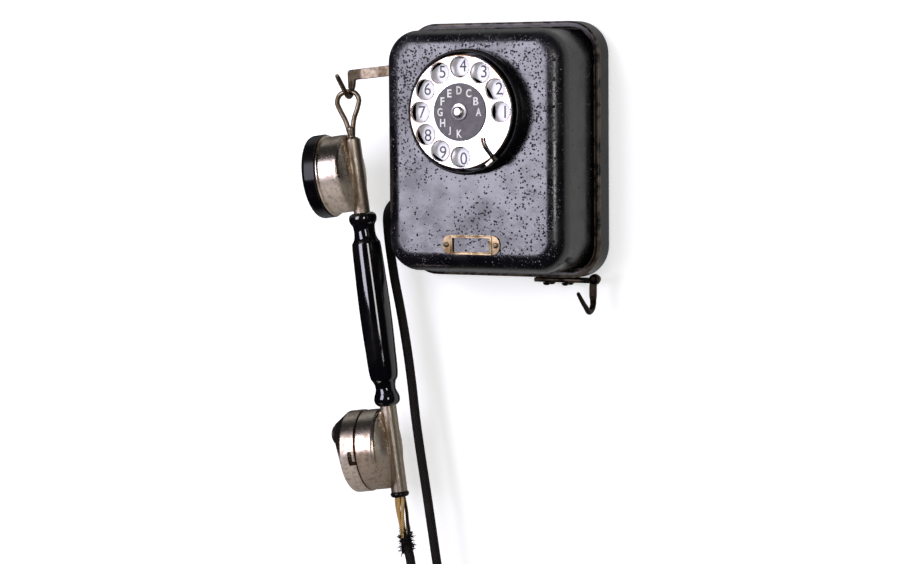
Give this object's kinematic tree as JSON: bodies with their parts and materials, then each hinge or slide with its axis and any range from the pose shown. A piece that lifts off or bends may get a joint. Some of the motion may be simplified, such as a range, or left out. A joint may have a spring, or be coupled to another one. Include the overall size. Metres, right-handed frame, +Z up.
{
  "type": "rotary wall telephone",
  "caption": "Compact black steel wall telephone with a rotary dial, a hand set hung by a wire loop from a side hook, a braided cord and a folding hook for a second receiver.",
  "frame": {"origin": "centre of the wall tray's flat rear face", "axes": "+X towards the viewer's right, +Y into the wall, +Z up; the dial faces -Y"},
  "size_m": [0.2086, 0.0833, 0.5155],
  "materials": {
    "cover_enamel": "aged black stove enamel with small blisters, satin",
    "ebonite": "polished black hard rubber",
    "nickel": "worn nickel plate with tan tarnish",
    "brass": "aged brass, lightly polished",
    "steel": "plain steel, dulled",
    "dark_steel": "blackened steel, worn at the edges",
    "porcelain": "white fired enamel, glossy",
    "disc_grey": "dark grey lacquer with white letters",
    "fibre": "brown insulating fibre",
    "winding": "silk-covered winding",
    "braid": "brown-black braided cotton",
    "ochre_cloth": "ochre cloth-covered wire"
  },
  "bodies": {
    "case": {"wall_tray": "cover_enamel", "front_cover": "cover_enamel", "label_frame": "brass", "label_screw_left": "brass", "label_screw_right": "brass", "cord_grommet": "ebonite", "dial_case": "ebonite", "number_plate": "porcelain", "finger_stop": "nickel", "dial_frame": "brass", "dial_bridge": "brass", "dial_spring_drum": "steel", "impulse_springs": "nickel", "bell_frame": "steel", "gong_left": "nickel", "gong_right": "nickel", "gong_screw_left": "steel", "gong_screw_right": "steel", "bell_coil_left": "winding", "bell_coil_right": "winding", "bell_magnet": "dark_steel", "induction_coil": "fibre", "condenser": "dark_steel", "terminal_block": "fibre", "hook_post": "steel", "hook_pivot_screw": "steel", "lever_spring": "steel", "switch_springs": "nickel", "spare_hook_bracket": "dark_steel", "spare_hook_pin": "dark_steel", "bracket_rivet_1": "dark_steel", "bracket_rivet_2": "dark_steel", "bracket_rivet_3": "dark_steel", "bracket_rivet_4": "dark_steel", "handset_cord": "braid"},
    "dial_wheel": {"finger_wheel": "nickel", "centre_disc": "disc_grey", "dial_centre_screw": "nickel", "dial_shaft": "steel", "main_gear": "brass"},
    "drive": {"drive_gear": "brass"},
    "governor": {"governor": "brass"},
    "hook_lever": {"hook_lever": "nickel"},
    "handset": {"suspension_loop": "nickel", "handset_tube": "nickel", "grip": "ebonite", "receiver_can": "nickel", "receiver_cap": "ebonite", "receiver_diaphragm": "steel", "receiver_magnet": "dark_steel", "transmitter_can": "nickel", "carbon_capsule": "brass", "tube_bushing": "ebonite", "handset_wires": "ochre_cloth"},
    "transmitter_cap": {"transmitter_cap": "nickel"},
    "clapper": {"clapper": "steel"},
    "spare_hook": {"spare_hook": "dark_steel"}
  },
  "joints": [
    {"name": "dial_turn", "type": "hinge", "parent": "case", "child": "dial_wheel", "pos_m": [0, -0.0785, 0.0265], "axis": [0, 1, 0], "range_deg": [0, 322], "stiffness_Nm_per_rad": 0.01, "springref_deg": -57.3},
    {"name": "drive_turn", "type": "hinge", "parent": "case", "child": "drive", "pos_m": [-0.02079, -0.0565, 0.0385], "axis": [0, 1, 0], "range_deg": [-1620, 10]},
    {"name": "governor_turn", "type": "hinge", "parent": "case", "child": "governor", "pos_m": [-0.02079, -0.0525, 0.0185], "axis": [0, 1, 0], "range_deg": [-10, 6460]},
    {"name": "handset_lift", "type": "slide", "parent": "case", "child": "handset", "axis": [0, -0.6, 0.8], "range_m": [0, 0.09]},
    {"name": "hook_lever_rise", "type": "hinge", "parent": "case", "child": "hook_lever", "pos_m": [-0.038, -0.0385, 0.0583], "axis": [0, 1, 0], "range_deg": [0, 8]},
    {"name": "transmitter_cap_turn", "type": "hinge", "parent": "handset", "child": "transmitter_cap", "pos_m": [-0.07469, -0.03862, -0.20792], "axis": [-0.982, -0.1345, -0.1323], "range_deg": [0, 10]},
    {"name": "clapper_swing", "type": "hinge", "parent": "case", "child": "clapper", "pos_m": [0, -0.0357, -0.014], "axis": [0, 1, 0], "range_deg": [-3.5, 3.5]},
    {"name": "spare_hook_swing", "type": "hinge", "parent": "case", "child": "spare_hook", "pos_m": [0.07, -0.0162, -0.0876], "axis": [0, 1, 0], "range_deg": [-60, 60]}
  ],
  "couplings": [
    {"joint": "drive_turn", "follows": "dial_turn", "ratio": -5},
    {"joint": "governor_turn", "follows": "dial_turn", "ratio": 20},
    {"joint": "hook_lever_rise", "follows": "handset_lift", "rad_per_m": 1.55}
  ]
}
